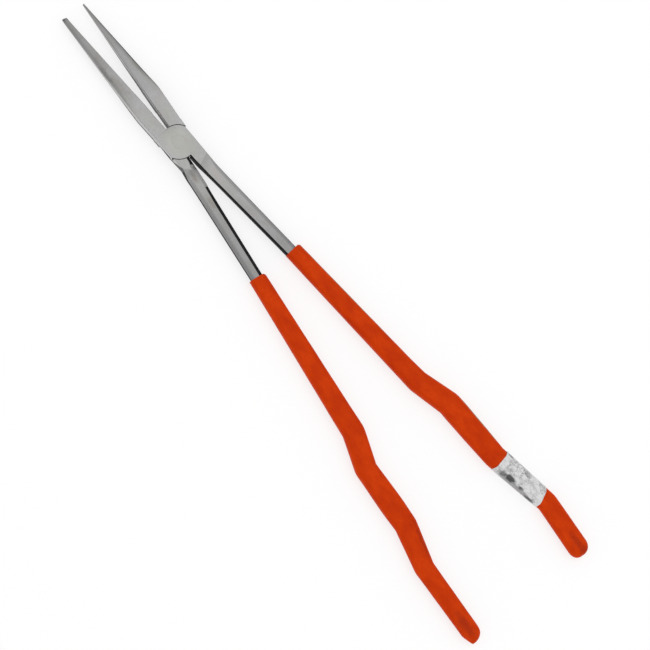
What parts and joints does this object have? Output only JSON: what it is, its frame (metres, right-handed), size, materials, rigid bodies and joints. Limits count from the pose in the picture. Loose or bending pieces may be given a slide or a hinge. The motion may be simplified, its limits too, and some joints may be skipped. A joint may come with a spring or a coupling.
{
  "type": "aquascaping tweezers",
  "caption": "Long-reach plier-type aquarium tongs: crossed steel levers on a flush rivet, needle-nose jaws, bent handles in orange dipped sleeves.",
  "frame": {"origin": "on the rivet's axis at the underside, the plane that the joint and the sleeves lie on", "axes": "+Z along the rivet's axis, towards the front lever; +Y along the tongs, towards the jaw tips; +X towards the labelled handle's side"},
  "size_m": [0.1321, 0.6014, 0.012],
  "materials": {
    "steel": "satin ground stainless steel, brushed along the shanks, darker towards the jaw tips",
    "rivet_steel": "stainless steel rivet, ground flush with the joint",
    "grip_vinyl": "orange dipped vinyl, semi-matte, slightly mottled",
    "label_film": "white film label with a plain grey marbled pattern, no lettering"
  },
  "bodies": {
    "front_half": {"front_lever": "steel", "pivot_rivet": "rivet_steel", "front_grip_sleeve": "grip_vinyl", "label_band": "label_film"},
    "rear_half": {"rear_lever": "steel", "rear_grip_sleeve": "grip_vinyl"}
  },
  "joints": [
    {"name": "jaw_pivot", "type": "hinge", "parent": "front_half", "child": "rear_half", "pos_m": [0, 0, 0.006], "axis": [0, 0, 1], "range_deg": [-50, 7.2]}
  ]
}
